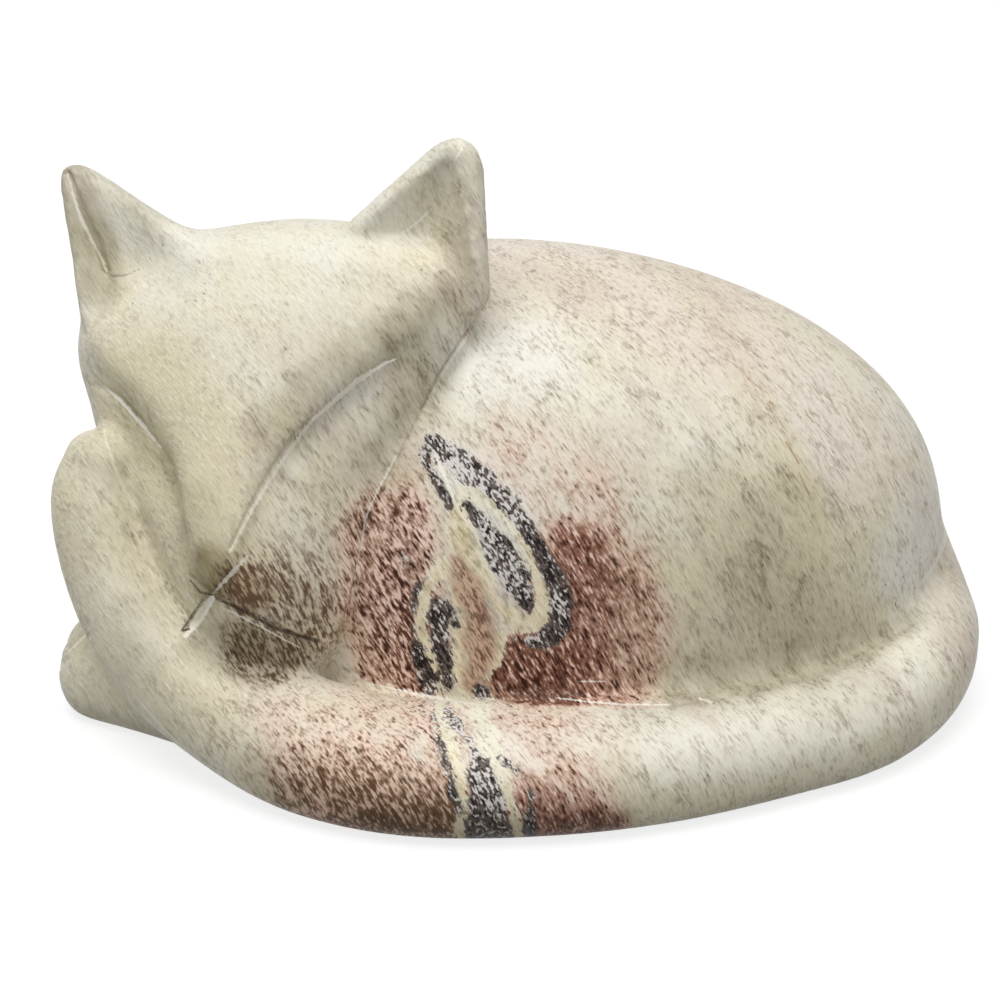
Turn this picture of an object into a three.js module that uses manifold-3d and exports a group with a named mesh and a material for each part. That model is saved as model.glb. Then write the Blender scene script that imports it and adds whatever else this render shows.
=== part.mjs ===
// A sleeping cat carved from one block of soapstone, curled with its chin on its tail.
// Millimetres, +Z up. The cat lies along X with its head at -X, and its face looks towards -Y.
import * as THREE from "three";
import { mergeVertices } from "three/addons/utils/BufferGeometryUtils.js";
import { ConvexGeometry } from "three/addons/geometries/ConvexGeometry.js";
import Module from "manifold-3d";

const wasm = await Module();
wasm.setup();

// The block of stone that the cat is carved from, and how far its left end lies from X = 0
const block = { length: 153, width: 95.2, height: 98.6, toLeft: 73.7 };
const blockToRight = block.length - block.toLeft;

// The trunk is three egg-shaped domes, each lofted through level outlines: the flank and rump, the
// shoulders behind the head and the chest under the chin. toLeft and toRight run along X, toFront
// and toBack along Y.
const flank = {
  around: 54,
  centre: [12, 5],
  toRight: blockToRight - 17.3,
  toLeft: 60,
  toFront: 41,
  toBack: 34,
  height: block.height - 25.3,
  widestAt: 24,
  fullness: 2.22,
  apexShift: [-14.5, 4],
};
const shoulders = {
  around: 42,
  centre: [-26, 9],
  toRight: 50,
  toLeft: 37,
  toFront: 30,
  toBack: 27,
  height: block.height - 25.6,
  widestAt: 34,
  fullness: 2.2,
  apexShift: [2, 0],
};
const chest = {
  around: 30,
  centre: [-38, -8],
  toRight: 24,
  toLeft: 20,
  toFront: 17,
  toBack: 20,
  height: 50,
  widestAt: 12,
  fullness: 2.2,
  apexShift: [2, 4],
};
const footRounding = 6;

// The head: its crown point, how far it is turned from the front, tipped back and leant over, and
// how deep it is from the forehead to the nape. Above the level crownFrom it is rounded over to
// crownTop, which lies at crownOut behind the forehead; a higher crownWidth makes it flatter, and
// crownFall is how much it falls for each millimetre towards the left ear.
const head = {
  crown: new THREE.Vector3(-34, -8.4, block.height - 12.1),
  yaw: 16,
  pitch: 35,
  roll: -4,
  depth: 36,
  crownTop: -4,
  crownFrom: 10,
  crownOut: -25,
  crownWidth: 2,
  crownFall: 0.13,
};

const ear = {
  thickness: 14,
  height: 11.6,
  narrowing: 0.8,
  thinning: 0.62,
  rootOut: -8,
  tipOut: 1,
  hollowDepth: 6,
  rimAtTip: 3,
  rimInside: 5,
  rimOutside: 2.2,
};

// Each knife cut is a V with this width across its mouth and this depth
const knife = { width: 0.9, depth: 1.1 };

// The tail's route along the floor, from its root in the rump to its tip beside the left cheek. It
// reaches the right end and the front of the block.
const tailToFront = block.width - flank.centre[1] - flank.toBack;
const tailRoute = [
  { at: [24, 14, 42], wide: 8, high: 8 },
  { at: [42, 23, 36.5], wide: 9.5, high: 9.5 },
  { at: [57, 20.5, 28.5], wide: 11, high: 11.5 },
  { at: [blockToRight - 15.5, 9, 17.6], wide: 12.5, high: 12 },
  { at: [blockToRight - 13.5, -8, 10.5], wide: 13.5, high: 11.2 },
  { at: [56.5, -22.5, 7.5], wide: 13.5, high: 10 },
  { at: [40, -32, 7], wide: 13.5, high: 9.6 },
  { at: [22, 16.7 - tailToFront, 7], wide: 13.3, high: 9.6 },
  { at: [3, 13.2 - tailToFront, 7], wide: 13.2, high: 9.6 },
  { at: [-15, 13.2 - tailToFront, 7], wide: 12.6, high: 9.5 },
  { at: [-30, -38.2, 8.2], wide: 11.6, high: 9.8 },
  { at: [-43.2, -31.6, 11.6], wide: 9.6, high: 9.3 },
  { at: [-53.4, -26, 17.8], wide: 8.6, high: 9.3 },
  { at: [-60.7, -20.4, 28.6], wide: 7.8, high: 8.2 },
  { at: [-63.7, -15.8, 40.5], wide: 7.2, high: 7.6 },
  { at: [-62.8, -14.6, 46.5], wide: 5.8, high: 6.2 },
];

// The two paws tucked in under the chest, from inside the trunk out to their toes at the left
const paw = { toLeft: block.toLeft - 7.7, tipFront: 8, tipRear: 7 };
const pawFrontRoute = [
  { at: [-34, -30, 8], wide: 8, high: 9 },
  { at: [-47, -21.5, 7.5], wide: 8.4, high: 9.2 },
  { at: [-57, -15, 7], wide: 8.6, high: 9.2 },
  { at: [1 - paw.toLeft, -11, 6.4], wide: 8.2, high: 8.8 },
];
const pawRearRoute = [
  { at: [-30, -16, 9], wide: 8, high: 9 },
  { at: [-46, -9, 8], wide: 8, high: 8.6 },
  { at: [-58, -4.5, 7], wide: 7.6, high: 8 },
  { at: [-0.4 - paw.toLeft, -2, 6.4], wide: 7.2, high: 7.6 },
];

// A closed skin through rings of points, each ring with the same count, fanned shut at both ends
function loft(rings, startPoint, endPoint) {
  const around = rings[0].length;
  const points = rings.flat().concat([startPoint, endPoint]);
  const first = points.length - 2;
  const last = points.length - 1;
  const faces = [];
  for (let i = 0; i < around; i += 1) {
    const j = (i + 1) % around;
    faces.push(first, j, i);
    for (let r = 0; r < rings.length - 1; r += 1) {
      const low = r * around;
      const high = low + around;
      faces.push(low + i, low + j, high + j);
      faces.push(low + i, high + j, high + i);
    }
    const top = (rings.length - 1) * around;
    faces.push(last, top + i, top + j);
  }
  const geometry = new THREE.BufferGeometry().setFromPoints(points);
  geometry.setIndex(faces);
  return geometry;
}

// A closed geometry as a solid that can be joined and cut; a skin that faces inwards is turned out
function solid(geometry) {
  const bare = geometry.clone();
  bare.deleteAttribute("normal");
  bare.deleteAttribute("uv");
  const merged = mergeVertices(bare, 1e-4);
  const vertProperties = merged.attributes.position.array;
  const triVerts = new Uint32Array(merged.index.array);
  const made = new wasm.Manifold(new wasm.Mesh({ numProp: 3, vertProperties, triVerts }));
  if (made.volume() > 0) return made;
  triVerts.reverse();
  return new wasm.Manifold(new wasm.Mesh({ numProp: 3, vertProperties, triVerts }));
}

// A smooth curve through values given at rising places, with the slopes of a Catmull-Rom spline
function through(places, values, at) {
  const last = places.length - 1;
  let i = 0;
  while (i < last - 1 && at > places[i + 1]) i += 1;
  const slope = (k) => {
    const before = Math.max(k - 1, 0);
    const after = Math.min(k + 1, last);
    return (values[after] - values[before]) / (places[after] - places[before]);
  };
  const span = places[i + 1] - places[i];
  const u = (at - places[i]) / span;
  const rise = values[i + 1] - values[i];
  const m0 = slope(i) * span;
  const m1 = slope(i + 1) * span;
  return values[i] + u * m0 + u * u * (3 * rise - 2 * m0 - m1) + u * u * u * (m0 + m1 - 2 * rise);
}

// A dome standing on the floor, with upright sides to its widest level and a rounded foot
function domeSolid(dome) {
  const around = dome.around;
  const outline = (z) => {
    const above = Math.max(z - dome.widestAt, 0) / (dome.height - dome.widestAt);
    const spread = (1 - above ** dome.fullness) ** (1 / dome.fullness);
    const low = THREE.MathUtils.clamp(footRounding - z, 0, footRounding);
    const inset = footRounding - Math.sqrt(footRounding ** 2 - low ** 2);
    const centreX = dome.centre[0] + dome.apexShift[0] * above ** 3;
    const centreY = dome.centre[1] + dome.apexShift[1] * above ** 2;
    return Array.from({ length: around }, (_, i) => {
      const turn = (2 * Math.PI * i) / around;
      const c = Math.cos(turn);
      const s = Math.sin(turn);
      const lengthways = (c > 0 ? dome.toRight : dome.toLeft) * spread - inset;
      const sideways = (s > 0 ? dome.toBack : dome.toFront) * spread - inset;
      return new THREE.Vector3(centreX + lengthways * c, centreY + sideways * s, z);
    });
  };
  const levels = [-1];
  for (const share of [0.06, 0.25, 0.55, 1]) levels.push(footRounding * share);
  const rows = Math.round(dome.around / 3);
  for (let i = 1; i < rows; i += 1) {
    const rise = Math.sin((Math.PI / 2) * (i / rows));
    levels.push(footRounding + (dome.height - footRounding) * rise);
  }
  const [x, y] = dome.centre;
  const apex = new THREE.Vector3(x + dome.apexShift[0], y + dome.apexShift[1], dome.height);
  return solid(loft(levels.map(outline), new THREE.Vector3(x, y, levels[0]), apex));
}

// A rounded limb along a route of stations, each with its own width and height, and a round tip.
// Its width stays level where the route is level, and keeps its direction where it climbs.
function limbSolid(stations, steps, around, squareness, tipLength) {
  const route = new THREE.CatmullRomCurve3(stations.map((s) => new THREE.Vector3(...s.at)));
  const places = stations.map((_, i) => i / (stations.length - 1));
  const rings = [];
  const side = new THREE.Vector3();
  const ringAt = (t, shrink, shift) => {
    const centre = route.getPoint(t);
    const ahead = route.getTangent(t);
    const level = new THREE.Vector3().crossVectors(ahead, new THREE.Vector3(0, 0, 1));
    side.addScaledVector(level, level.lengthSq() ** 2).projectOnPlane(ahead).normalize();
    const up = new THREE.Vector3().crossVectors(side, ahead).normalize();
    const wide = through(places, stations.map((s) => s.wide), t) * shrink;
    const high = through(places, stations.map((s) => s.high), t) * shrink;
    return Array.from({ length: around }, (_, i) => {
      const turn = (2 * Math.PI * i) / around;
      const c = Math.cos(turn);
      const s = Math.sin(turn);
      const x = Math.sign(c) * Math.abs(c) ** squareness * wide;
      const y = Math.sign(s) * Math.abs(s) ** squareness * high;
      return centre
        .clone()
        .addScaledVector(ahead, shift)
        .addScaledVector(side, x)
        .addScaledVector(up, y);
    });
  };
  for (let i = 0; i <= steps; i += 1) rings.push(ringAt(i / steps, 1, 0));
  const capRings = 7;
  for (let i = 1; i < capRings; i += 1) {
    const lean = (Math.PI / 2) * (i / capRings);
    rings.push(ringAt(1, Math.cos(lean), tipLength * Math.sin(lean)));
  }
  const end = route.getPoint(1).addScaledVector(route.getTangent(1), tipLength);
  return solid(loft(rings, route.getPoint(0), end));
}

// The head's own frame: +X across the face, +Y down the face to the chin, +Z out of the face
const headFrame = (() => {
  const yaw = THREE.MathUtils.degToRad(head.yaw);
  const pitch = THREE.MathUtils.degToRad(head.pitch);
  const roll = THREE.MathUtils.degToRad(head.roll);
  const out = new THREE.Vector3(
    -Math.sin(yaw) * Math.cos(pitch),
    -Math.cos(yaw) * Math.cos(pitch),
    Math.sin(pitch),
  );
  const across = new THREE.Vector3(Math.cos(yaw), -Math.sin(yaw), 0).applyAxisAngle(out, -roll);
  const down = new THREE.Vector3().crossVectors(across, out).normalize();
  return new THREE.Matrix4().makeBasis(across, down, out).setPosition(head.crown);
})();
const inHead = (across, down, out) => new THREE.Vector3(across, down, out).applyMatrix4(headFrame);

// The face is skinned over lines that run down it, each through a few points [down, across, out]:
// on each side the edge of the brow, the foot of the brow with the eye in it, the cheek and the
// widest part, and between them the ridge of forehead, nose and chin.
const faceLines = {
  leftSide: [
    [10, -35.6, -20], [17, -36.4, -19], [29, -34.5, -17], [42, -27, -15], [56, -19, -16],
    [63, -15.5, -19.5], [70, -10, -23],
  ],
  leftCheek: [
    [10, -34, -13], [17, -36.2, -12.5], [23, -35.6, -12], [35, -27, -10], [50, -18, -9.5],
    [59.5, -14.5, -13.5], [70, -9.5, -21],
  ],
  leftFoot: [
    [10, -30, -8], [17, -33, -7.5], [23, -31.4, -6.8], [29, -26, -7], [42, -15, -6.5],
    [50, -12.5, -6.5], [59.5, -10.8, -10], [70, -8.5, -19.5],
  ],
  leftBrow: [
    [10, -22, -4], [17, -25, -3], [23, -25, -2.5], [35, -14.5, -1.5], [50, -10.3, -2.6],
    [59.5, -8.6, -6.4], [63, -9, -11], [70, -7, -18.5],
  ],
  ridge: [
    [10, 1, 0], [17, -2, 1], [29, -5, 0.8], [42, -5, -0.2], [50, -6, -1.4], [56, -6.2, -3],
    [59.5, -6.3, -5.5], [63, -6, -10.5], [70, -5, -18],
  ],
  rightBrow: [
    [10, 24, -3], [17, 19.5, -1.8], [23, 14, -1.6], [35, 5, -1.6], [42, 1.2, -1.6],
    [50, -1.6, -2.6], [59.5, -4, -6.2], [63, -3, -10.5], [70, -3, -18],
  ],
  rightFoot: [
    [10, 27, -5.4], [17, 24, -4.4], [23, 17.5, -5.2], [29, 10.8, -6.2], [35, 5.6, -5.2],
    [42, 1.7, -3.8], [50, -1, -4.2], [59.5, -2.2, -7.2], [63, 0, -11], [70, -1, -18.2],
  ],
  rightCheek: [
    [10, 28.4, -9.5], [17, 27.8, -8.6], [23, 24.5, -8.3], [35, 14, -8.3], [42, 9.5, -7.5],
    [50, 6.5, -8], [59.5, 4.5, -10.5], [70, 2, -19],
  ],
  rightSide: [
    [10, 28.6, -17], [17, 31, -17.5], [29, 28.6, -16], [35, 24, -16], [42, 18.6, -15],
    [50, 14.4, -15.5], [59.5, 12.2, -16.8], [63, 10.4, -18.2], [70, 5, -22],
  ],
};

// The front of the head at a level down the face, as points (across, out) from left to right
function faceSection(down) {
  const points = Object.values(faceLines).map((line) => {
    const places = line.map((point) => point[0]);
    const across = through(places, line.map((point) => point[1]), down);
    return new THREE.Vector2(across, through(places, line.map((point) => point[2]), down));
  });
  return new THREE.SplineCurve(points).getPoints(32);
}

// One section of the whole head: the face in front and half an oval behind
function headSection(down) {
  const level = Math.max(down, head.crownFrom);
  const over = (level - down) / (head.crownFrom - head.crownTop);
  const skin = faceSection(level);
  const left = skin[0];
  const right = skin[skin.length - 1];
  const centre = (left.x + right.x) / 2;
  const half = (right.x - left.x) / 2;
  const backPoints = 10;
  for (let k = 1; k < backPoints; k += 1) {
    const turn = (Math.PI * k) / backPoints;
    const edge = right.y + ((left.y - right.y) * k) / backPoints;
    const out = edge - (head.depth + edge) * Math.sin(turn);
    skin.push(new THREE.Vector2(centre + half * Math.cos(turn), out));
  }
  const narrow = (1 - over ** head.crownWidth) ** (1 / head.crownWidth);
  const shallow = Math.sqrt(1 - over ** 2);
  return skin.map(({ x, y }) => {
    const across = (x - centre) * narrow;
    const fall = head.crownFall * over * Math.max(-across, 0);
    return inHead(centre + across, down + fall, head.crownOut + (y - head.crownOut) * shallow);
  });
}

function headSolid() {
  const chin = faceLines.ridge[faceLines.ridge.length - 1][0];
  const levels = [];
  const crownRows = 9;
  for (let i = 1; i < crownRows; i += 1) {
    const over = Math.cos((Math.PI / 2) * (i / crownRows));
    levels.push(head.crownFrom - (head.crownFrom - head.crownTop) * over);
  }
  const rows = 30;
  for (let i = 0; i <= rows; i += 1) levels.push(head.crownFrom + ((chin - head.crownFrom) * i) / rows);
  const top = inHead(0, head.crownTop, head.crownOut);
  return solid(loft(levels.map(headSection), top, inHead(-3, chin + 1, -24)));
}

// A stretch of one of the face's lines, as points [across, down, out]
function alongFace(name, from, to) {
  const line = faceLines[name];
  const places = line.map((point) => point[0]);
  return Array.from({ length: 6 }, (_, i) => {
    const down = THREE.MathUtils.lerp(from, to, i / 5);
    const across = through(places, line.map((point) => point[1]), down);
    return [across, down, through(places, line.map((point) => point[2]), down)];
  });
}

// The point [across, down, out] of the face's skin at a place on it
function onFace(across, down) {
  const skin = faceSection(down);
  let i = 0;
  while (i < skin.length - 2 && skin[i + 1].x < across) i += 1;
  const share = (across - skin[i].x) / (skin[i + 1].x - skin[i].x);
  return [across, down, THREE.MathUtils.lerp(skin[i].y, skin[i + 1].y, share)];
}

// A knife's V groove along points [across, down, out] on the face, running out at both ends
function knifeCut(route) {
  const line = new THREE.CatmullRomCurve3(route.map((point) => new THREE.Vector3(...point)));
  const steps = 12;
  const lip = 1.5;
  const rings = [];
  for (let i = 1; i < steps; i += 1) {
    const t = i / steps;
    const deep = knife.depth * Math.sin(Math.PI * t) ** 0.5;
    const half = (knife.width / 2) * ((deep + lip) / knife.depth);
    const mid = line.getPoint(t);
    const ahead = line.getTangent(t);
    const side = new THREE.Vector3(ahead.y, -ahead.x, 0).setLength(half);
    rings.push([
      inHead(mid.x - side.x, mid.y - side.y, mid.z + lip),
      inHead(mid.x, mid.y, mid.z - deep),
      inHead(mid.x + side.x, mid.y + side.y, mid.z + lip),
    ]);
  }
  const end = (point) => inHead(point.x, point.y, point.z + lip);
  return solid(loft(rings, end(line.getPoint(0)), end(line.getPoint(1))));
}

// An ear: a flattened cone from its root in the head to a rounded tip, hollowed to a V in front
const ears = [
  { inner: [5.5, 3.2], outer: [33, 12.5], tip: [28.8, -ear.height], groove: [20.8, 2.6] },
  { inner: [-11.5, 4.5], outer: [-33.5, 19], tip: [-37, 3.8 - ear.height], groove: [-28.9, 9.5] },
];

function earSolid({ inner, outer, tip }) {
  const rootLine = new THREE.Vector2(outer[0] - inner[0], outer[1] - inner[1]);
  const middle = new THREE.Vector2(inner[0] + outer[0], inner[1] + outer[1]).multiplyScalar(0.5);
  const rise = new THREE.Vector2(tip[0], tip[1]).sub(middle);
  const rings = [];
  const steps = 16;
  const around = 24;
  const below = 0.3;
  const capFrom = 0.86;
  const topOf = (s) => (s > capFrom ? Math.sqrt(1 - ((s - capFrom) / (1 - capFrom)) ** 2) : 1);
  for (let i = 0; i < steps; i += 1) {
    const s = -below + (1 + below) * Math.sin((Math.PI / 2) * (i / steps));
    const rootFade = 1 + 1.4 * Math.min(s, 0);
    const taper = rootFade * (1 - ear.narrowing * Math.max(s, 0)) * topOf(s);
    const centre = middle.clone().addScaledVector(rise, s);
    const half = rootLine.clone().multiplyScalar(0.5 * taper);
    const thick = (ear.thickness / 2) * (1 - ear.thinning * Math.max(s, 0)) * topOf(s);
    const out = THREE.MathUtils.lerp(ear.rootOut, ear.tipOut, s);
    rings.push(
      Array.from({ length: around }, (_, k) => {
        const turn = (2 * Math.PI * k) / around;
        const c = Math.cos(turn);
        return inHead(centre.x + half.x * c, centre.y + half.y * c, out + thick * Math.sin(turn));
      }),
    );
  }
  const root = middle.clone().addScaledVector(rise, -below);
  return solid(loft(rings, inHead(root.x, root.y, ear.rootOut - 1), inHead(...tip, ear.tipOut)));
}

function earHollow({ inner, outer, tip, groove }) {
  const centre = [(inner[0] + outer[0] + tip[0]) / 3, (inner[1] + outer[1] + tip[1]) / 3];
  const inset = (p, rim) => {
    const length = Math.hypot(centre[0] - p[0], centre[1] - p[1]);
    return p.map((v, i) => v + ((centre[i] - v) * rim) / length);
  };
  const top = [...inset(tip, ear.rimAtTip), 2.2];
  const reach = 1.6;
  const ray = (p) => inHead(...p.map((v, i) => top[i] + (v - top[i]) * reach));
  const inside = [...inset(inner, ear.rimInside), -2.4];
  const outside = [...inset(outer, ear.rimOutside), -5.5];
  const deep = [...groove, -2 - ear.hollowDepth];
  const front = 14;
  return solid(
    new ConvexGeometry([
      inHead(...top),
      ray(inside),
      ray(outside),
      ray(deep),
      inHead(top[0], top[1], front),
      ray([inside[0], inside[1], front]),
      ray([outside[0], outside[1], front]),
    ]),
  );
}

// The closed eyes run along the foot of each brow, and the mouth from the nose round the right cheek
const knifeCuts = [
  alongFace("rightFoot", 22, 50),
  alongFace("leftFoot", 26, 41),
  [[-7.6, 59.4], [-2.9, 61.8], [1, 63.2], [7.2, 65.8]].map((point) => onFace(...point)),
];

const tailSolid = limbSolid(tailRoute, 62, 26, 0.86, 5);
const pawFront = limbSolid(pawFrontRoute, 10, 20, 0.9, paw.tipFront);
const pawRear = limbSolid(pawRearRoute, 10, 20, 0.9, paw.tipRear);

let cat = headSolid().add(tailSolid).add(pawFront).add(pawRear);
for (const dome of [flank, shoulders, chest]) cat = cat.add(domeSolid(dome));
for (const route of knifeCuts) cat = cat.subtract(knifeCut(route));
for (const one of ears) cat = cat.add(earSolid(one).subtract(earHollow(one)));

// The sawn and ground underside, cut level so that the cat stands flat
const slab = { side: 400, thickness: 60 };
const slabBox = new THREE.BoxGeometry(slab.side, slab.side, slab.thickness);
cat = cat.subtract(solid(slabBox.translate(0, 0, -slab.thickness / 2)));

// The stone is solid: a pocket closed in between the rounded masses is filled by keeping the outer
// skin alone. The origin then goes under the middle of the cat, on the floor.
cat = cat.decompose().reduce((most, one) => (one.volume() > most.volume() ? one : most));
const { min, max } = cat.boundingBox();
cat = cat.translate([-(min[0] + max[0]) / 2, -(min[1] + max[1]) / 2, -min[2]]);

const made = cat.getMesh();
const geometry = new THREE.BufferGeometry();
geometry.setAttribute("position", new THREE.BufferAttribute(made.vertProperties, 3));
geometry.setIndex(new THREE.BufferAttribute(made.triVerts, 1));
const stone = new THREE.MeshStandardMaterial({ color: 0xcfcab2, roughness: 0.42, metalness: 0 });
const catMesh = new THREE.Mesh(geometry, stone);
catMesh.name = "stone_cat";

const sculpture = new THREE.Group();
sculpture.add(catMesh);
export default sculpture;
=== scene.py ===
# A sleeping cat carved from one block of veined soapstone, on a plain pale floor.
import math
import bpy
import numpy as np
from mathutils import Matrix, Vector


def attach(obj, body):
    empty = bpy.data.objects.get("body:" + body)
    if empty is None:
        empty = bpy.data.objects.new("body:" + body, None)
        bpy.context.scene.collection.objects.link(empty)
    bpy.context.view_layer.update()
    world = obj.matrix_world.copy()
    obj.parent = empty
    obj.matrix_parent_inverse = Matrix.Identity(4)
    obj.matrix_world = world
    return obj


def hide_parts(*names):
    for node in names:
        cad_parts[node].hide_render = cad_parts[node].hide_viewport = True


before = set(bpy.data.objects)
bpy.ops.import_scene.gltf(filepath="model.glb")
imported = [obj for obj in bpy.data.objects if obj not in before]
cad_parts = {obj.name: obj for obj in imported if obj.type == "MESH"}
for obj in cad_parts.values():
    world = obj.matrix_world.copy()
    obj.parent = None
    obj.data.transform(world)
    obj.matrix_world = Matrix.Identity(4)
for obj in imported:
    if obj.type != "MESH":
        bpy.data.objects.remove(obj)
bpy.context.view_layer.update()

# The block
# One piece of soapstone, sawn and rasped into a curled cat and rubbed down with wet paper. Nothing
# is joined to it, so its skin runs on from the body over the tail, the head and the ears.
mm = 0.001
skin_grid = 0.92 * mm
loose_corners = 0.01 * mm
bpy.ops.object.select_all(action="DESELECT")
rough_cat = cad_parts["stone_cat"]
cat = rough_cat.copy()
cat.data = rough_cat.data.copy()
cat.name = "carved_cat"
bpy.context.collection.objects.link(cat)
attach(cat, "root")
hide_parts("stone_cat")
cat.select_set(True)
bpy.context.view_layer.objects.active = cat
bpy.ops.object.mode_set(mode="EDIT")
bpy.ops.mesh.select_all(action="SELECT")
bpy.ops.mesh.remove_doubles(threshold=loose_corners)
bpy.ops.object.mode_set(mode="OBJECT")
regrid = cat.modifiers.new("even_skin", "REMESH")
regrid.mode = "VOXEL"
regrid.voxel_size = skin_grid
bpy.ops.object.modifier_apply(modifier=regrid.name)


def skin_points(piece):
    """The skin's vertices in millimetres."""
    flat = np.empty(len(piece.data.vertices) * 3)
    piece.data.vertices.foreach_get("co", flat)
    return flat.reshape(-1, 3) / mm


def skin_normals(piece):
    """Which way the skin faces at each vertex."""
    flat = np.empty(len(piece.data.vertices) * 3)
    piece.data.vertex_normals.foreach_get("vector", flat)
    return flat.reshape(-1, 3)


look_down = math.radians(25)
to_viewer = np.array([0, -math.cos(look_down), math.sin(look_down)])
up_in_view = np.array([0, math.sin(look_down), math.cos(look_down)])


def seen_from_front(points):
    """Millimetres to the right and up, as the cat is seen from the front and a little above."""
    return np.stack([points[:, 0], points @ up_in_view], 1)


def turned_away(piece):
    """-1 where the skin faces the viewer, 0 at the outline and 1 where its back is turned."""
    return -(skin_normals(piece) @ to_viewer)


far_off = 1000.0


def stroke_distance(places, route, half_widths):
    """Millimetres from each place to the edge of a stroke along a route, negative inside it."""
    same_all_along = isinstance(half_widths, (int, float))
    widths = [half_widths] * len(route) if same_all_along else half_widths
    best = np.full(len(places), far_off)
    for k in range(len(route) - 1):
        a = np.array(route[k])
        leg = np.array(route[k + 1]) - a
        share = np.clip((places - a) @ leg / (leg @ leg), 0, 1)
        gap = np.linalg.norm(places - a - share[:, None] * leg, axis=1)
        best = np.minimum(best, gap - widths[k] - (widths[k + 1] - widths[k]) * share)
    return best


def fade(distance, full, gone):
    """1 where the distance is at most full, 0 from gone on, and smooth between."""
    t = np.clip((gone - distance) / (gone - full), 0, 1)
    return t * t * (3 - 2 * t)


# The rasp and the paper soften every edge but the brows, the creases and the ear rims. The head has
# its own frame at the crown: across the face, down it and out of it.
crown = np.array([-37.05, 0.38, 86.5])
head_across = np.array([0.970, -0.237, 0.057])
head_down = np.array([-0.091, -0.569, -0.817])
head_out = np.array([-0.226, -0.787, 0.574])
head_body_crease = [
    (-4.8, 64.5), (-12.3, 52.9), (-18.5, 40.5), (-24.0, 29.2), (-26.1, 18), (-28, 13),
]
tail_crease = [
    (-28, 6.4), (-13.8, 2.8), (1.6, 2.5), (23, 1.8), (35.9, 3.5), (50.4, 6.7), (64.3, 13.2),
]
brow_right = [
    (-20.8, 54.7), (-28.5, 48.2), (-33.7, 44.3), (-38, 38.2), (-41, 32.8), (-43.4, 27.5),
    (-47, 20.5),
]
brow_left = [(-66.9, 51.6), (-60.3, 46.5), (-55.9, 41.3), (-54, 38.5)]
chin_line = [(-52, 13), (-47.2, 19), (-39.9, 14.9), (-33.6, 11.5)]
kept_edges = (
    (head_body_crease, 4, 0.95), (tail_crease, 3, 0.95), (brow_right, 3.5, 0.4),
    (brow_left, 3, 0.75), (chin_line, 3, 0.85),
)
skin = skin_points(cat)
front = seen_from_front(skin)
facing = fade(turned_away(cat), -0.25, 0.05)
in_head = (skin - crown) @ np.stack([head_across, head_down, head_out], 1)
crisp = np.zeros(len(skin))
for route, reach, hold in kept_edges:
    crisp = np.maximum(crisp, hold * facing * fade(stroke_distance(front, route, 0), 1.2, reach))
across_face, down_face, out_of_face = in_head.T
on_face = (
    fade(-out_of_face, 22, 30) * fade(np.abs(across_face + 2), 38, 44) * fade(down_face, 68, 76)
)
ear_zone = (
    fade(down_face, 6, 13) * fade(-out_of_face, 13, 17) * (np.abs(across_face + 3) > 11)
)

# The brow's roll is rubbed although it lies in the face, and the uncarved back most of all
brow_roll = [(-13, 66), (-18.6, 60), (-25.5, 54.5), (-31, 49.5), (-36, 43.5), (-41, 36)]
rolled = 0.7 * facing * fade(stroke_distance(front, brow_roll, 0), 3, 6)
softness = np.clip(np.maximum(1 - crisp - 0.9 * on_face - 0.9 * ear_zone, rolled), 0.04, 1)
behind = fade(-skin[:, 1], -8, -2) * fade(-skin[:, 2], -6, -3)


def rub_down(piece, name, weights, passes):
    """Smooths the skin by so many passes, as much at each vertex as its weight says."""
    group = piece.vertex_groups.new(name=name)
    levels = 25
    for level in range(1, levels + 1):
        picked = np.nonzero(np.round(weights * levels).astype(int) == level)[0]
        group.add(picked.tolist(), level / levels, "REPLACE")
    rub = piece.modifiers.new(name, "SMOOTH")
    rub.factor = 0.5
    rub.iterations = passes
    rub.vertex_group = name
    bpy.ops.object.modifier_apply(modifier=rub.name)


rub_down(cat, "soft_edges", softness, 35)
rub_down(cat, "soft_back", behind, 137)


def push_out(piece, heights):
    """Moves each vertex outwards by so many millimetres, or inwards where that is negative."""
    moved = skin_points(piece) + skin_normals(piece) * heights[:, None]
    piece.data.vertices.foreach_set("co", (moved * mm).ravel())
    piece.data.update()


# The cheek swells a little against the foot of the brow
cheek_top = [(-22, 53.5), (-28.5, 48.2), (-33.7, 44.3), (-37, 40)]
cheek_rise = 0.3
swell = fade(stroke_distance(seen_from_front(skin_points(cat)), cheek_top, 0), 0.5, 6)
push_out(cat, cheek_rise * swell * fade(turned_away(cat), -0.25, 0.05))
bpy.ops.object.shade_smooth()

# The knife cuts
# Closed eyes, mouth, chin, the left ear's fold and the line between the paws are single cuts with a
# knife's point, and a shallower one runs round the head and along the tail. Each has its route as
# seen from the front, its half width and its depth.
cuts = {
    "left_eye": ([(-66.9, 51.6), (-63.7, 50), (-60.3, 46.5), (-55.9, 41.3), (-54, 38.5)], 0.9, 0.6),
    "right_eye": ([(-20.8, 54.7), (-28.5, 48.2), (-33.7, 44.3), (-38, 38.2), (-41, 32.8),
                   (-44.2, 26.2)], 0.6, 0.25),
    "mouth": ([(-50.7, 21.5), (-47.2, 19), (-43.2, 16.3), (-39.9, 14.9), (-33.6, 11.5)], 0.7, 0.8),
    "chin": ([(-47.2, 19), (-51.9, 13.2)], 0.9, 0.7),
    "left_ear": ([(-71.1, 84.9), (-69.9, 81.9), (-68.1, 77.3), (-66.4, 73.4), (-65.3, 69.6)],
                 0.9, 0.8),
    "paws": ([(-76, 6), (-74.7, 7.1), (-72.8, 8.8), (-70.9, 10.7), (-68.8, 12)], 1.2, 0.9),
    "head_edge": (head_body_crease, 0.4, 0.4),
    "tail_crease": (tail_crease, 0.4, 0.4),
}
finer_beside_cut = 1.4
front = seen_from_front(skin_points(cat))
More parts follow.
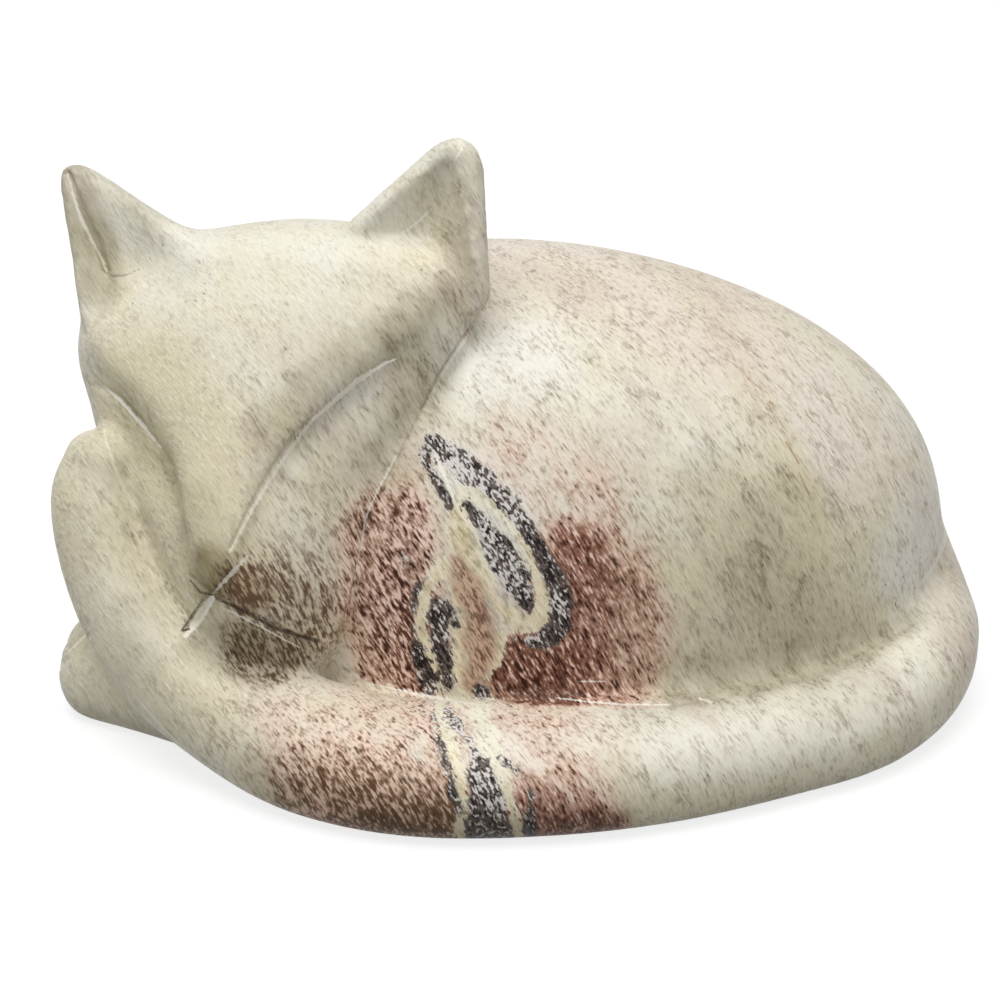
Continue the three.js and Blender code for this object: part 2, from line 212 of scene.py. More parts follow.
facing = fade(turned_away(cat), -0.1, 0.05)
to_cut = [stroke_distance(front, route, half_width) for route, half_width, _ in cuts.values()]
near = (np.min(to_cut, axis=0) < finer_beside_cut) & (facing > 0)
bpy.ops.object.mode_set(mode="EDIT")
bpy.ops.mesh.select_all(action="DESELECT")
bpy.ops.object.mode_set(mode="OBJECT")
for polygon in cat.data.polygons:
    polygon.select = all(near[v] for v in polygon.vertices)
bpy.ops.object.mode_set(mode="EDIT")
bpy.ops.mesh.select_mode(type="FACE")
bpy.ops.mesh.subdivide(number_cuts=2, smoothness=0)
bpy.ops.object.mode_set(mode="OBJECT")
front = seen_from_front(skin_points(cat))
facing = fade(turned_away(cat), -0.1, 0.05)
sunk = np.zeros(len(front))
for route, half_width, depth in cuts.values():
    sunk += facing * depth * fade(stroke_distance(front, route, 0), 0, half_width)
push_out(cat, -sunk)

# The stone's pattern
# Pale green-grey soapstone with fine taupe streaks that all point one way through the block. A rust
# stain soaks the middle of it, round a vein of charcoal with pale yellow edges.
skin = skin_points(cat)
front = seen_from_front(skin)
in_front = fade(turned_away(cat), 0.05, 0.5) * fade(skin[:, 1], 22, 36)

# Strokes: a route as seen from the front, and its half width all along or at each point
charcoal_strokes = [
    ([(-13.5, 42), (-10, 39.7), (-6.1, 37.1), (-3, 34), (0, 30.9), (1.9, 27.9), (3.9, 24.3),
      (5.4, 21.2), (6.2, 17.8), (6.1, 14.2), (3.9, 11.8), (1.6, 11.5), (-0.7, 12.2)],
     [1.5, 2.0, 1.9, 1.5, 1.2, 1.1, 1.3, 1.6, 1.9, 1.8, 1.4, 0.9, 0.4]),
    ([(-15.1, 40.5), (-13.2, 37.4), (-11.5, 34.3), (-10.6, 31.7)], [0.5, 0.8, 0.8, 0.3]),
    ([(-8.1, 32.9), (-6.1, 30.5), (-4.3, 27.4), (-2.3, 24), (-0.6, 20.9), (0.8, 18.1), (1.6, 15.9)],
     [0.4, 1.2, 1.9, 2.4, 2.3, 1.5, 0.4]),
    ([(-14.5, 21.1), (-16.3, 19.2), (-16.6, 15.6), (-16.3, 11.6), (-15.9, 10), (-15, 6.8),
      (-14.1, 4)],
     [0.3, 0.5, 0.3, 0.5, 1.0, 1.2, 1.2]),
    ([(-13, 17.7), (-12.5, 14.8), (-12.4, 12.1), (-11.8, 9.2), (-11.5, 6.5), (-11.1, 4.1)],
     [1.0, 1.6, 1.7, 1.2, 0.9, 0.6]),
    ([(-11.4, 17.7), (-9.7, 15.7), (-9.9, 13.7)], [0.3, 0.6, 0.4]),
    ([(-18.6, 25.4), (-17.5, 23.9), (-15.9, 22.7)], [0.5, 0.6, 0.3]),
    ([(-6.3, 3.7), (-5.7, 3.4)], 0.8),
    ([(-11.1, 1.2), (-9.6, -0.7), (-7.9, -3)], [0.5, 1.1, 0.7]),
    ([(-7.1, -4.4), (-6.1, -7.7), (-5, -11.8), (-4.6, -18)], [0.7, 1.8, 2.7, 3.6]),
    ([(-13.4, 0.1), (-11.1, -7.3), (-10.2, -10.7), (-9.1, -13.6)], [0.4, 0.6, 0.9, 0.7]),
    ([(-3, -5.4), (-0.5, -7.3), (1.5, -10.3), (1.5, -17)], [0.4, 0.5, 0.4, 0.9]),
]
yellow_strokes = [
    ([(-8.3, 35.1), (-6.1, 34.3), (-3.5, 32.5), (-0.7, 29.7), (1.6, 26.6), (3, 23.5), (3.7, 20.4),
      (3.9, 17.3), (3.1, 14.6), (0.4, 14.2), (-1.5, 14.9)],
     [1, 1.3, 1.3, 1.3, 1.3, 1.3, 1.4, 1.5, 1.5, 1.6, 1.4]),
    ([(-10, 31.7), (-9.2, 28.9), (-8.1, 26.3), (-6.6, 23.5), (-5.1, 20.9), (-3.8, 18.1),
      (-1.5, 15.7)],
     [1.3, 2.1, 2.5, 2.2, 1.6, 1.2, 1.4]),
    ([(-11.2, 23.5), (-13.1, 21.6), (-14.7, 19.2), (-15.3, 16.4), (-15.4, 13.2), (-14.5, 10),
      (-13.4, 7.3), (-13.1, 4.9)], [1.2, 1.2, 1.1, 1.1, 1.1, 1.2, 1.2, 1.3]),
    ([(-10, 19.6), (-8.9, 15.7), (-9.3, 11.4), (-9.3, 7.4), (-9, 2.9)], [0.9, 1, 1.3, 1.5, 1.8]),
    ([(-3, 12.2), (-3.5, 8.6), (-5.4, 5.8)], [1, 0.7, 0.8]),
    ([(-12.3, 1.5), (-10.7, -3.4), (-9.6, -7.2), (-8.6, -11.8), (-8.7, -18)],
     [1.2, 1.4, 1, 0.9, 1]),
    ([(-6.6, 1.8), (-5, -2.6), (-3, -7.2), (-1.5, -11.8), (-0.3, -18)], [1.6, 1.5, 1, 0.9, 1]),
]
island = [(-9.6, 24), (-7.6, 19.6), (-6.2, 15.6), (-6, 11.7), (-6.3, 8.2), (-7, 5)]
island_half_widths = [0.9, 2.1, 2.4, 2.5, 2.2, 1.5]

# Blots: a route, how far from it they are full, how far beyond that they fade out, and how strong.
# The darkening blots are painted shade where shade falls, in the hollows and creases, under the
# brow and chin and along the foot; on the ears, nose, cheek and the body's front they also darken
# the stone's own tone. The lightening blots lighten the stone's own tone in the vein, and are
# painted light and highlights on the crown, the shoulder, the cheek below the right eye, the tail's
# top, the right flank and the tail's right part. Calm is where the streaks are faint.
rust_blots = [
    ([(-20, 28), (-20, 17), (-18, 8)], 3, 8, 0.52),
    ([(-18, 17), (-17, 8)], 1, 4, 0.3),
    ([(-14, 42), (-17, 34)], 1, 6, 0.12),
    ([(12, 21), (14, 15), (13, 6)], 2, 11.5, 0.5),
    ([(8.5, 25), (8, 13), (6, 5)], 1.5, 7, 0.6),
    ([(-1, 8), (4, 6)], 1.5, 3.5, 0.8),
    ([(-2, 5), (2, 3.5)], 1.5, 3, 0.8),
    ([(2, 10), (6, 7)], 2, 4, 0.6),
    ([(0, 40), (9, 34)], 2, 10, 0.2),
]
tail_rust_blots = [
    ([(-36, -11), (-28, -14)], 1, 11, 0.1),
    ([(-26, -13), (-13, -15)], 2, 12.5, 0.42),
    ([(-22, -15), (-12, -16)], 1.3, 6, 0.5),
    ([(-34, -2), (-15, -1)], 2, 9, 0.16),
    ([(4, -12), (9, -14)], 1.3, 9, 0.38),
    ([(2, -15), (11, -17)], 0.8, 6, 0.5),
    ([(0, 0), (11, -2)], 1.6, 10, 0.13),
    ([(-1, 0.5), (4, 0)], 1, 3.5, 0.08),
    ([(-16, 0), (-12, -2)], 1, 4, 0.1),
    # The last one darkens the tail's bottom edge, partly as rust and partly as painted shade under
    # it
    ([(-22, -17), (-2, -18), (14, -17)], 0.8, 3.5, 0.6),
]
brown_blots = [
    ([(-43, 20), (-42, 18)], 0.7, 3.6, 0.8),
    ([(-39, 20), (-34, 17), (-33, 14)], 1.3, 7.4, 0.4),
    ([(-43.6, 21.3), (-39.7, 19.7)], 1.2, 4, 0.5),
    ([(-41.4, 23), (-33.9, 21), (-29.4, 19.5)], 1, 8, 0.15),
    ([(-33, 29), (-25, 32)], 1, 9, 0.15),
    ([(-44, 8.5), (-38, 7)], 1, 2.5, 0.4),
    ([(-44, 0), (-36, -6)], 3, 8, 0.15),
    ([(-26, -8), (-14, -9)], 2, 6, 0.2),
    ([(-43, 12), (-36, 9)], 0.8, 4.9, 0.55),
    ([(-31, 12), (-29, 24)], 0.8, 5.7, 0.15),
    ([(-34, -12), (-12, -15)], 0.5, 8, 0.45),
    ([(18, 30), (20, 15)], 0.7, 9, 0.16),
]
shade_and_tone_blots = [
    ([(-71, 84), (-69, 76), (-66, 67)], 2, 3.3, 0.48),
    ([(-58, 72), (-53, 69)], 0.7, 4.1, 0.23),
    ([(-68, 81), (-65, 74), (-64, 70)], 0.5, 2.2, 0.35),
    ([(-63, 84), (-58, 78)], 0.7, 4.1, 0.35),
    ([(-10, 84), (-9, 75), (-9, 66)], 1.6, 3.6, 0.25),
    ([(-12, 61), (-15, 51), (-18, 43), (-21, 38)], 2, 4.9, 0.3),
    ([(-15, 63), (-21.5, 58), (-27.8, 54), (-34, 49.3), (-39, 43.8)], 0.4, 5, 0.5),
    ([(-62, 51), (-57, 45), (-53, 38), (-52, 30)], 0.6, 3, 0.15),
    ([(-48, 12), (-34, 9)], 1, 4.3, 0.35),
    ([(-63, 48), (-58, 41)], 0.8, 3.6, 0.25),
    ([(19, 4), (36, 6), (53, 11)], 0.7, 7.4, 0.35),
    ([(-49, 34), (-48, 24), (-48, 20)], 0.8, 3.6, 0.23),
    ([(-47.4, 24), (-46.9, 20.5)], 1.4, 3, 0.85),
    ([(27.8, 38), (30, 27), (31.4, 18), (30.6, 8.4)], 1.5, 6, 0.23),
    ([(35.7, 30.4), (35.5, 17.9)], 1, 5, 0.16),
    ([(41, 32), (42, 16)], 3, 8, 0.3),
    ([(-31, 39), (-24, 45), (-16, 54)], 3.5, 5, 0.26),
    ([(-42, 12), (-38, 11)], 1.5, 3.5, 0.3),
    ([(-51, 10), (-46, 8), (-39, 6.5)], 1, 2.5, 0.4),
    ([(24, 2.6), (35.9, 4.3), (50.4, 7.5), (64.3, 14)], 0.5, 2.2, 0.5),
    ([(70, 16), (73, 24)], 2, 5, 0.15),
    ([(-24, -15.8), (-2, -17), (16, -15.8)], 0.8, 3, 0.65),
    ([(-12, 3.4), (-3, 3.4), (8, 3.2)], 0.4, 1.5, 0.6),
    ([(-41, -8), (-39, -13)], 1, 4, 0.25),
    ([(-60, 16), (-59, 8)], 2, 4, 0.22),
    ([(-66, 41), (-60, 39), (-58, 33)], 1.5, 3.5, 0.22),
    ([(48, 2), (56, 4)], 1.5, 5, 0.2),
    ([(-73, 11), (-70, 13.5)], 0.8, 2, 0.31),
    ([(-55, 40), (-52.6, 31), (-51.4, 25), (-50.2, 21)], 0.4, 1.6, 0.2),
]
blush_blots = [
    ([(-3, 70), (16, 67), (35, 60)], 3.6, 9.8, 0.8),
    ([(28, 60), (44, 51), (57, 38)], 3.6, 9.8, 0.5),
    ([(3, 43), (15, 46)], 3.3, 11.5, 0.2),
    ([(70, 23), (74, 10)], 2.3, 6.6, 0.5),
    ([(-71, 85), (-70, 81)], 1.6, 4.9, 0.4),
]
olive_blots = [
    ([(-57, 51), (-49, 38), (-48, 24)], 4.1, 13.1, 0.9),
    ([(-70, 37), (-64, 15), (-54, 2)], 3.3, 9.8, 0.6),
    ([(29, 69), (35, 54), (42, 41), (46, 30)], 0.7, 4.3, 0.8),
    ([(20, 18), (41, 15), (57, 24)], 4.1, 13.1, 0.6),
    ([(36, 34), (44, 20)], 4, 10, 0.7),
    ([(-21, 64), (-12, 69)], 2.5, 9.8, 0.5),
    ([(-16, 40), (-18, 36)], 1, 3, 0.6),
    ([(18, -9), (34, -8), (57, -1)], 2, 8.2, 0.8),
]
pale_and_lit_blots = [
    ([(-50, 71), (-34, 73)], 2.5, 9.8, 0.25),
    ([(-6, 55), (3, 57)], 2.5, 9.8, 0.6),
    ([(-6, 0), (12, -2)], 0.7, 4.1, 0.5),
    ([(-21, 52.5), (-26, 49), (-31, 44.5), (-35, 39)], 1, 2, 0.6),
    ([(-66, 18), (-60, 10)], 2, 5, 0.4),
    ([(-21, 78), (-17, 75)], 2, 3, 0.5),
    ([(-3, 72), (-2, 60)], 2, 5, 0.3),
    ([(-1, 13), (3, 9)], 1, 2, 0.3),
    ([(-30, 8), (-26, 7)], 1.5, 4, 0.5),
    ([(58, 5), (66, 10)], 2, 6, 0.4),
    ([(16, 47), (26, 45)], 2, 8, 0.5),
    ([(22, -5), (42, -4), (62, 3)], 2, 7, 0.7),
    ([(61, 22), (65, 32)], 1.5, 7, 0.9),
    ([(-14, 42), (-7, 38), (-1, 32)], 2, 3, 0.8),
    ([(-12, 1), (-3, -1), (1, -5)], 2, 4, 0.8),
    ([(-5, 28), (-1, 20)], 1.5, 2, 0.8),
    ([(-6, -6), (-4, -12)], 1.5, 2, 0.6),
]
calm_blots = [
    ([(-62, 62), (-42, 66), (-29, 66)], 8, 8, 0.9),
    ([(-52, 55), (-49, 35), (-48, 26)], 4, 6, 0.9),
    ([(-70, 40), (-66, 15), (-55, 3)], 6, 8, 0.6),
    ([(-71, 82), (-62, 73)], 5, 6, 0.8),
    ([(-12, 82), (-16, 74)], 5, 6, 0.7),
    ([(-72, 8), (-66, 0)], 5, 6, 0.8),
]


def nearest_stroke(strokes):
    """Millimetres from each vertex to the edge of the nearest stroke."""
    return np.min([stroke_distance(front, route, widths) for route, widths in strokes], axis=0)


def blotted(blots):
    """How strongly soft blots cover each vertex, 0 to 1."""
    cover = np.zeros(len(skin))
    for route, core, reach, strength in blots:
        spot = strength * fade(stroke_distance(front, route, 0), core, core + reach)
        cover = cover + spot - cover * spot
    return cover * in_front


# On the back every stroke counts as far away, and the flank's rust ends at the tail
away = 30 * (1 - in_front)
crease_height = np.interp(front[:, 0], *zip(*tail_crease))
on_body = fade(crease_height - front[:, 1], 0.3, 1.1)
# The foot is darkened by painted shade, more towards the floor
painted_shade_at_foot = 0.45
pattern = {
    "in_front": in_front,
    "charcoal": nearest_stroke(charcoal_strokes) + away,
    "yellow": nearest_stroke(yellow_strokes) + away,
    "island": stroke_distance(front, island, island_half_widths) + away,
    "rust": np.maximum(blotted(rust_blots) * on_body, blotted(tail_rust_blots)),
    "brown": blotted(brown_blots),
    "shade_and_tone": np.maximum(blotted(shade_and_tone_blots), painted_shade_at_foot * fade(skin[:, 2], 0.5, 6)),
    "blush": blotted(blush_blots),
    "olive": blotted(olive_blots),
    "pale_and_lit": blotted(pale_and_lit_blots),
    "calm": blotted(calm_blots),
}
for name, values in pattern.items():
    layer = cat.data.attributes.new(name, "FLOAT", "POINT")
    layer.data.foreach_set("value", values.astype(np.float32))


class Paint:
    """A socket of the stone's material, with the arithmetic that its mixing needs."""

    tree = None

    def __init__(self, socket):
        self.socket = socket

    @classmethod
    def node(cls, kind, settings=None, **values):
        """Adds a node: its settings first, then its sockets by name, or by place as _0, _1."""
        made = cls.tree.nodes.new("ShaderNode" + kind)
        for name, value in (settings or {}).items():
            setattr(made, name, value)
        for name, value in values.items():
            socket = made.inputs[int(name[1:])] if name[0] == "_" else made.inputs[name]
            if isinstance(value, Paint):
                cls.tree.links.new(value.socket, socket)
            else:
                socket.default_value = value
        return made

    @classmethod
    def math(cls, operation, *values):
        places = {"_%d" % k: v for k, v in enumerate(values)}
        return Paint(cls.node("Math", {"operation": operation}, **places).outputs[0])

    @classmethod
    def vector(cls, operation, *values, **named):
        """Vector Math, which gives a number for a dot product or a distance."""
        named.update({"_%d" % k: v for k, v in enumerate(values)})
        made = cls.node("VectorMath", {"operation": operation}, **named)
        gives_number = operation in ("DOT_PRODUCT", "DISTANCE")
        return Paint(made.outputs["Value" if gives_number else "Vector"])

    def __add__(self, other):
        return Paint.math("ADD", self, other)

    __radd__ = __add__

    def __mul__(self, other):
        return Paint.math("MULTIPLY", self, other)

    __rmul__ = __mul__

    def __sub__(self, other):
        return Paint.math("SUBTRACT", self, other)

    def __rsub__(self, other):
        return Paint.math("SUBTRACT", other, self)

    def between(self, low, high):
        """0 at low, 1 at high, smooth between; low may be the greater."""
        sockets = {"Value": self, "From Min": low, "From Max": high}
        made = Paint.node("MapRange", {"interpolation_type": "SMOOTHSTEP"}, **sockets)
        return Paint(made.outputs[0])

    def over(self, under, colour, blend="MIX"):
        """A colour laid over another where this mask is 1."""
        settings = {"data_type": "RGBA", "blend_type": blend, "clamp_factor": True}
        return Paint(Paint.node("Mix", settings, _0=self, _6=under, _7=colour).outputs[2])

    def multiplies_over(self, under, colour):
        """A colour multiplied by another where this mask is 1, which darkens it."""
        return self.over(under, colour, "MULTIPLY")


def tone(red, green, blue):
    """A colour as it is read off a screen, 0 to 255, turned to linear light."""
    levels = (red, green, blue)
    return (*(((v / 255 + 0.055) / 1.055) ** 2.4 if v > 10 else v / 3294 for v in levels), 1)


stone = bpy.data.materials.new("polished_soapstone")
stone.use_nodes = True
stone.node_tree.nodes.clear()
Paint.tree = stone.node_tree
place = Paint.vector("SCALE", Paint(Paint.node("TexCoord").outputs["Object"]), Scale=1 / mm)
streak_way = Vector((0.45, -0.05, -0.89)).normalized()
sheet_way = streak_way.cross((0.52, -0.86, 0)).normalized()
deep_way = sheet_way.cross(streak_way)
along, deep, thick, across, upward = (
    Paint.vector("DOT_PRODUCT", place, tuple(way))
    for way in (streak_way, deep_way, sheet_way, (1, 0, 0), up_in_view)
)
on_front = Paint(Paint.node("CombineXYZ", X=across, Y=upward).outputs[0])
noise_spread = 11.5


def grain(size, stretch, shift=0):
    """Noise from about -2 to 2, in grains so many millimetres thick, drawn out in the sheets."""
    spot = {"X": along * (1 / stretch) + shift, "Y": deep * (2 / (1 + stretch)), "Z": thick + shift}
    spot = Paint(Paint.node("CombineXYZ", **spot).outputs[0])
    made = Paint.node("TexNoise", Vector=spot, Scale=0.5 / size, Detail=2, Roughness=0.5)
    return (Paint(made.outputs["Fac"]) - 0.5) * noise_spread


def painted(name):
    """A value that the skin carries from vertex to vertex."""
    return Paint(Paint.node("Attribute", {"attribute_name": name}).outputs["Fac"])


# Grains from hair-thin streaks to clouds, woven together, and the values painted on the skin
fine = grain(0.17, 3.5)
mid = grain(0.32, 3, shift=3)
hair = grain(0.15, 9, shift=5)
clump = grain(1.3, 2.5, shift=9)
cloud = grain(8, 1.6, shift=7)
drifts = grain(3, 3, shift=21)
weave = fine * 0.6 + mid * 0.55 + hair * 0.5
strand = weave * 0.95 + clump * 0.35
fray = fine * 0.16 + mid * 0.14 + clump * 0.22
calm = painted("calm")
pale_and_lit = painted("pale_and_lit")
rust = painted("rust")
rusty = rust + (clump * 0.06 + drifts * 0.035 + cloud * 0.03) * rust.between(0, 0.4)

# The plain stone: warmer and cooler clouds, taupe streaks, pale hairs and a few dark grains
base = cloud.between(-1, 1).over(tone(228, 224, 208), tone(227, 221, 198))
base = (painted("olive") * 0.85).over(base, tone(215, 206, 172))
base = (painted("blush") * 0.7).over(base, tone(226, 211, 198))
# The lightening blots give the stone's own lighter tone in places, and painted light and highlights
# on the crown, the shoulder, the cheek, the right flank and the tail
base = (pale_and_lit * 0.8).over(base, tone(240, 238, 230))
clouded = (cloud + drifts).between(0.2, 2.4) * (0.4 - calm * 0.3)
base = clouded.over(base, tone(208, 193, 180))
base = ((cloud - drifts).between(0.4, 2.4) * 0.2).over(base, tone(218, 214, 184))
shade_of_streaks = painted("blush").over(tone(168, 158, 138), tone(172, 150, 138))
base = (strand.between(-1.3, 2.9) * (0.62 - pale_and_lit * 0.3 - calm * 0.3)).over(base, shade_of_streaks)
thick_streaks = (weave * 0.7 + clump * 0.5).between(0.3, 2.8) * (0.45 - calm * 0.35)
base = thick_streaks.over(base, tone(140, 128, 108))
base = (hair.between(-1.0, -2.2) * 0.35).over(base, tone(246, 244, 236))
base = ((fine + clump * 0.5).between(2.9, 3.3) * 0.6).over(base, tone(112, 100, 80))

# The rust and the brown stain wash the ground, soak the streaks and leave a few of them light
wash = rusty.between(0.1, 0.8).over(tone(229, 204, 185), tone(192, 152, 132))
base = rusty.between(-0.03, 0.5).over(base, wash)
in_rust = rusty.between(0, 0.35)
soaked = rusty.between(0.1, 0.8).over(tone(190, 152, 130), tone(116, 71, 54))
base = ((weave + rusty * 2.2).between(-0.6, 2.4) * in_rust * 0.9).over(base, soaked)
left_of_vein = across.between(-6, -12)
darkest = (weave + rusty * 1.5 + left_of_vein * 0.4).between(1.2, 3) * in_rust
base = darkest.over(base, tone(52, 25, 20))
spared = (left_of_vein * 0.7 - weave).between(0.7, 2.2) * in_rust * 0.85
base = spared.over(base, tone(240, 216, 202))
brown = painted("brown")
base = (brown * 0.85).over(base, tone(176, 148, 114))
browned = (weave + brown * 1.8).between(-0.6, 2.4) * brown.between(0, 0.5) * 0.9
base = browned.over(base, tone(84, 58, 38))

# The vein: pale yellow rims, a speckled island between them, and charcoal with light flecks
edge = painted("yellow") + fray
cream = (clump * 0.5 + mid * 0.4 + weave * 0.3).between(-1.4, 1.4)
cream = cream.over(tone(240, 231, 206), tone(216, 201, 166))
cream = (pale_and_lit * 0.7).over(cream, tone(234, 234, 220))
cream = edge.between(-0.5, 0.1).over(cream, tone(236, 229, 208))
cream = (strand.between(0.2, 2.2) * 0.5).over(cream, tone(140, 126, 98))
base = edge.between(0.35, -0.25).over(base, cream)
speckled = strand.between(-1.3, 1.5).over(tone(208, 178, 152), tone(118, 80, 62))
base = ((painted("island") + fray * 2).between(0.8, -0.8) * 0.95).over(base, speckled)
ragged = painted("charcoal") + fray
coal = weave.between(-1.5, 1.3).over(tone(102, 90, 86), tone(20, 13, 12))
flecks = (grain(0.2, 2.5, shift=13) + clump * 0.4 + pale_and_lit * 1.5).between(0.3, 2.1)
coal = flecks.over(coal, tone(220, 215, 210))
base = ragged.between(0.25, -0.25).over(base, coal)
# Painted shade darkens the hollows, creases, brow, chin and foot, mottled a little by the grain,
# and also gives the stone's own darker tone on the ears, nose and cheek
shade_and_tone_tint = (0.42, 0.39, 0.3, 1)
base = (painted("shade_and_tone") * (clump * 0.12 + 1)).multiplies_over(base, shade_and_tone_tint)

# Lines on the skin waver a little with the grain, and are fainter in places
wobble = hair * 0.03 + fine * 0.04
broken = hair.between(-2.4, -0.6) * 0.4 + 0.6


def line(points, half_width):
    """1 along a thin line that tapers to both ends, seen from the front, and 0 beside it."""
    last = len(points) - 1
    widths = half_width
    if isinstance(half_width, (int, float)):
        bulge = [math.sin(math.pi * k / last) ** 0.6 for k in range(last + 1)]
        widths = [half_width * max(0.25, b) for b in bulge]
    gap = None
    for k in range(last):
        a, b = points[k], points[k + 1]
        leg = Vector((b[0] - a[0], b[1] - a[1], 0))
        from_a = Paint.vector("SUBTRACT", on_front, (*a, 0))
        share = Paint.vector("DOT_PRODUCT", from_a, tuple(leg / leg.length_squared))
        share = Paint(Paint.node("Clamp", Value=share).outputs[0])
        to_leg = Paint.vector("DISTANCE", from_a, Paint.vector("SCALE", tuple(leg), Scale=share))
        to_edge = to_leg - (share * (widths[k + 1] - widths[k]) + widths[k])
        gap = to_edge if gap is None else Paint.math("MINIMUM", gap, to_edge)
    return (gap + wobble).between(0.15, -0.06)


# Bright knife marks and painted highlights, dark cuts and a few ochre streaks, each with its route
# as seen from the front, its half width and its strength
bright_marks_and_highlights = [
    # The eyes' lines are pale powder in their cuts, with painted highlight on the lit lips
    ([(-19, 55.2), (-21, 54.4), (-25, 51.8), (-31.8, 45.9)], [0.05, 0.15, 0.34, 0.2], 1),
    ([(-31.8, 45.9), (-35.7, 40.7), (-40.6, 32.8), (-44.4, 25.6)], [0.2, 0.24, 0.22, 0.1], 0.5),
    ([(-67, 52.4), (-63.2, 49.5), (-59.5, 45.7), (-56, 41.7)], 0.25, 0.95),
    # The chin's lit facet just below is a painted highlight
    ([(-47.4, 18.4), (-49.8, 15.4), (-52.2, 12.3)], [0.4, 0.8, 0.3], 0.9),
    ([(-46.2, 17.1), (-40.5, 14.1), (-34.2, 10.4)], 0.15, 0.6),
    ([(-41.7, 25.1), (-43.7, 22.8), (-47.2, 19.1)], 0.35, 0.5),
    ([(-19, 40.5), (-22, 35), (-23.7, 31.2), (-24.8, 26.5), (-26.2, 17.9)], 0.15, 0.5),
    ([(-24.1, 4.4), (-18.8, 3.4), (-13.6, 2.4), (-7.2, 1.8)], 0.15, 0.7),
    ([(5.8, 2.6), (10.9, 2.1), (16.6, 1.7), (23.3, 1.7)], 0.12, 0.7),
    ([(9.1, 5.2), (13.3, 5.2)], 0.15, 0.9),
    # The crease between the tail and the paw, in the next two, is a painted highlight
    ([(-68.9, 14.8), (-66.5, 10.6), (-63.1, 6.2), (-59.6, 1.7)], 0.1, 0.3),
    ([(-59.6, 1.7), (-56.1, -2.4), (-53.1, -5.2)], 0.15, 0.7),
    ([(-74.7, 7.5), (-72.8, 9.2), (-70.9, 11.1), (-68, 13)], 0.2, 0.7),
    ([(-65.5, 44.5), (-62.4, 35.8), (-59.7, 31.5)], 0.25, 0.3),
    ([(-71.2, 84.9), (-69.3, 78.4), (-65.3, 69.6)], 0.2, 0.7),
    ([(-8.8, 87.1), (-9.9, 85.3)], 0.25, 0.8),
    ([(-13.7, 78.4), (-15.7, 76.5), (-18.1, 74.9)], 0.15, 0.8),
    ([(-14.7, 74.5), (-12.8, 72.7)], 0.15, 0.5),
    ([(-24.4, 75), (-16.5, 74), (-13, 70.4), (-10, 67.9)], 0.5, 0.25),
    ([(-13.2, 41.2), (-11.5, 36.9), (-9.8, 32.8)], 0.3, 0.8),
    # A painted highlight along the body's right rim
    ([(68.5, 40.8), (69.5, 34.9), (71.7, 28.4), (68, 22.6), (64.2, 18.7)], 0.5, 0.4),
    # A painted highlight on a chip in the tail's crease
    ([(28.1, 2.5), (29.9, 2.1)], 0.4, 0.6),
]
dark_cuts = [
    ([(-46.8, 18.4), (-42.4, 16.2), (-38, 13.6), (-31.6, 11.5)], [0.12, 0.15, 0.22, 0.28], 0.8),
    ([(-51.2, 21.1), (-49.3, 19.4), (-47.4, 18.9)], 0.25, 0.8),
    ([(-48.9, 18.2), (-51.4, 15.2), (-53, 12.9)], 0.22, 0.7),
    ([(-52.6, 13), (-51.8, 13.2)], 0.5, 0.9),
    ([(-24.5, 30.6), (-24.3, 29.9)], 0.4, 0.8),
    ([(-66, 69.9), (-64.3, 68.8), (-62.1, 68.9), (-59.8, 69.8)], [0.05, 0.15, 0.1, 0], 0.4),
]
ochre_marks = [
    ([(35.7, 52.7), (38, 50.7)], 0.25, 0.7),
    ([(39.2, 48.8), (40, 48.2)], 0.4, 0.7),
    ([(41.6, 42.5), (43.6, 39.2)], 0.3, 0.7),
    ([(43.6, 37.7), (45.2, 34.4)], 0.2, 0.7),
]
coloured_marks = (
    (tone(246, 243, 232), bright_marks_and_highlights),
    (tone(62, 50, 38), dark_cuts),
    (tone(158, 122, 70), ochre_marks),
)
for colour, marks in coloured_marks:
    for points, half_width, strength in marks:
        shown = line(points, half_width) * painted("in_front") * broken * strength
        base = shown.over(base, colour)

gloss = grain(0.5, 1) * 0.012 + 0.42
bump = Paint(Paint.node("Bump", Strength=0.15, Distance=0.2 * mm, Height=strand).outputs[0])
finish = {
    "Base Color": base, "Roughness": gloss, "Normal": bump, "IOR": 1.5, "Specular IOR Level": 0.15,
}
polish = Paint.node("BsdfPrincipled", **finish)
Paint.node("OutputMaterial", Surface=Paint(polish.outputs[0]))
cat.data.materials.clear()
cat.data.materials.append(stone)

# The studio
# A plain pale floor that keeps the cat's soft shadow, a white surround, and broad soft lamps. The
# floor glows and the air is white only where the camera or a gloss sees them, so that the cat isn't
# overlit.
bpy.ops.object.select_all(action="DESELECT")
below_cat = 0.2 * mm
bpy.ops.mesh.primitive_plane_add(size=8, location=(0, 0, -below_cat))
floor = bpy.context.active_object
floor.name = "studio_floor"
paper = bpy.data.materials.new("white_paper")
paper.use_nodes = True
paper.node_tree.nodes.clear()
Paint.tree = paper.node_tree


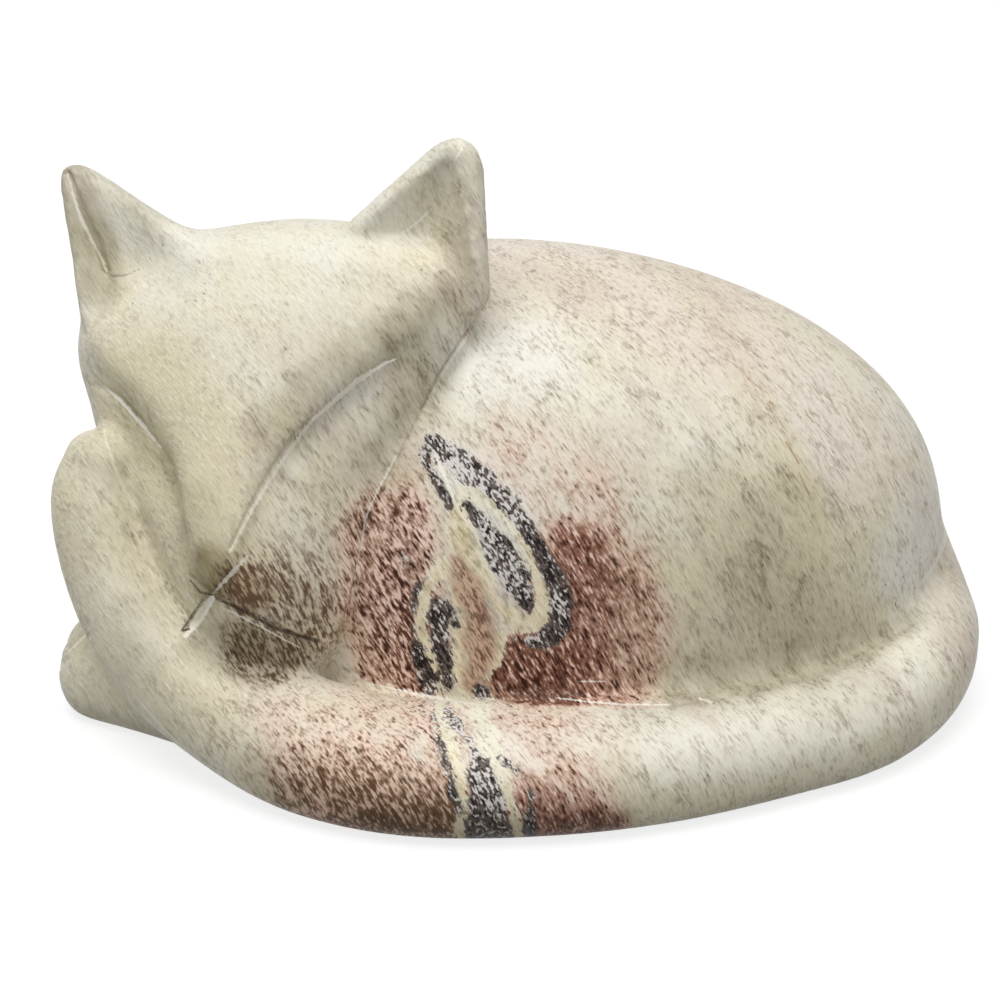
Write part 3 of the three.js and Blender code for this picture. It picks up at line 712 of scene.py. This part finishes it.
def in_view():
    """1 for what the camera sees, directly or in a gloss, and 0 for what only lights."""
    path = Paint.node("LightPath").outputs
    camera, glossy, through = (
        Paint(path["Is %s Ray" % kind]) for kind in ("Camera", "Glossy", "Transmission")
    )
    return Paint.math("MAXIMUM", camera, Paint.math("MAXIMUM", glossy, through))


white = (1, 1, 1, 1)
matt = Paint(Paint.node("BsdfDiffuse", Color=(0.3, 0.3, 0.3, 1)).outputs[0])
glow = Paint(Paint.node("Emission", Color=white, Strength=in_view() * 0.78).outputs[0])
lit = Paint(Paint.node("AddShader", _0=matt, _1=glow).outputs[0])
Paint.node("OutputMaterial", Surface=lit)
floor.data.materials.append(paper)

world = bpy.data.worlds.new("studio_air")
bpy.context.scene.world = world
world.use_nodes = True
world.node_tree.nodes.clear()
Paint.tree = world.node_tree
air = Paint.node("Background", Color=white, Strength=in_view() * 0.7 + 0.3)
Paint.node("OutputWorld", Surface=Paint(air.outputs[0]))
cat_middle = Vector((0, 0, 0.04))


def softbox(name, position, size, power):
    """A square lamp, its size in metres and its power in watts, turned towards the cat."""
    lamp = bpy.data.lights.new(name, "AREA")
    lamp.shape = "SQUARE"
    lamp.size = size
    lamp.energy = power
    holder = bpy.data.objects.new(name, lamp)
    holder.location = position
    holder.rotation_euler = (cat_middle - Vector(position)).to_track_quat("-Z", "Y").to_euler()
    bpy.context.collection.objects.link(holder)


softbox("overhead_softbox", (-0.1, -0.2, 1.0), size=0.7, power=8.1)
softbox("front_softbox", (-0.4, -0.9, 0.5), size=0.5, power=1.6)
softbox("right_softbox", (0.9, -0.4, 0.35), size=0.6, power=1.0)

# The camera stands half a metre off, 25 degrees above the floor, straight in front of the cat
aim = Vector((-3.05, 8.78, 38)) * mm
stand_off = 0.5
camera = bpy.data.cameras.new("front_camera")
camera.sensor_width = 36
camera.lens = 109.8
camera.shift_y = -0.03
camera.clip_start = 0.01
viewer = bpy.data.objects.new("front_camera", camera)
viewer.location = aim + Vector(to_viewer) * stand_off
viewer.rotation_euler = (math.pi / 2 - look_down, 0, 0)
bpy.context.collection.objects.link(viewer)
bpy.context.scene.camera = viewer
bpy.context.scene.view_settings.view_transform = "Standard"
